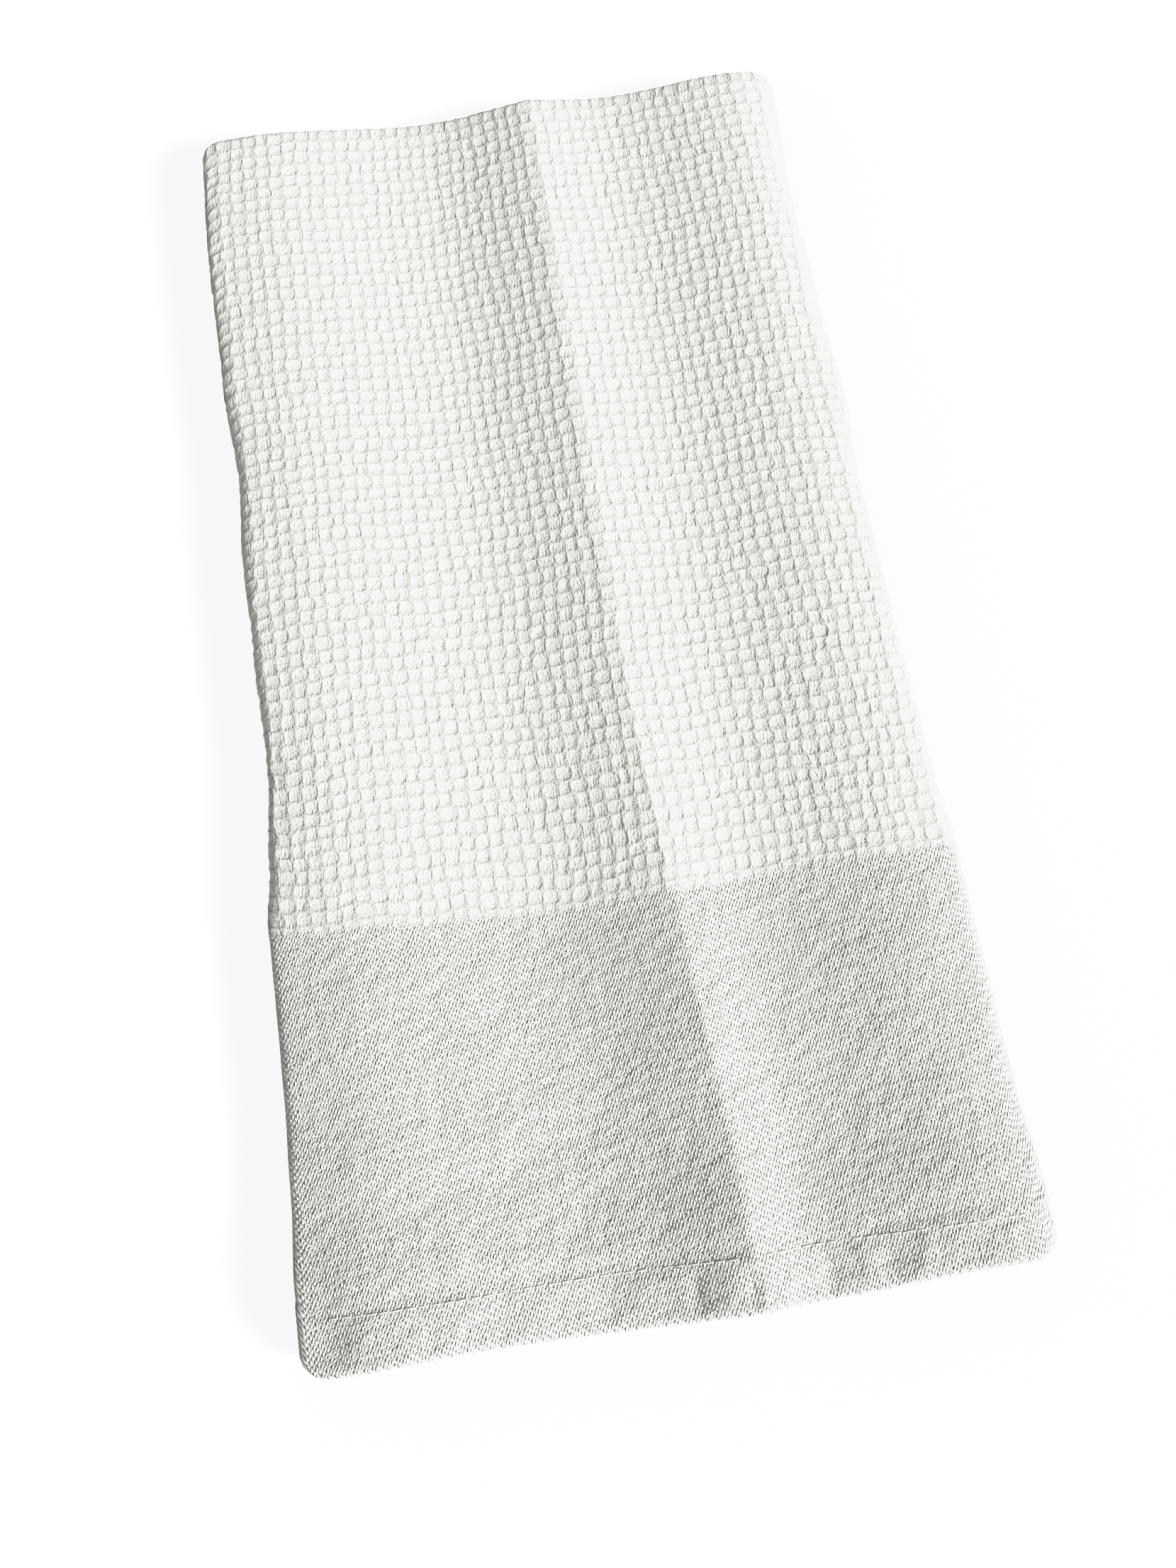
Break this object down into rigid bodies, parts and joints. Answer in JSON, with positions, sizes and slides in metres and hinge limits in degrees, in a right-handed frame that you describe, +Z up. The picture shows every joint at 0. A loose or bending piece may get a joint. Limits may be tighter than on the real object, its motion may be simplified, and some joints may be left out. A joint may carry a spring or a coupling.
{
  "type": "tea towel",
  "caption": "Folded white cotton tea towel with a cellular waffle weave, flat twill end bands and stitched hems, for drying dishes.",
  "frame": {"origin": "on the surface that the folded towel lies on, under the middle of its box", "axes": "+Z up, +Y along the towel towards the fold across its middle, +X across it to the right, seen from the stitched ends"},
  "size_m": [0.2031, 0.3929, 0.017],
  "materials": {
    "cotton": "matt bleached cotton, cellular waffle weave with a flat twill band and a stitched hem at each end"
  },
  "bodies": {
    "root": {"towel_cloth": "cotton"}
  },
  "joints": []
}
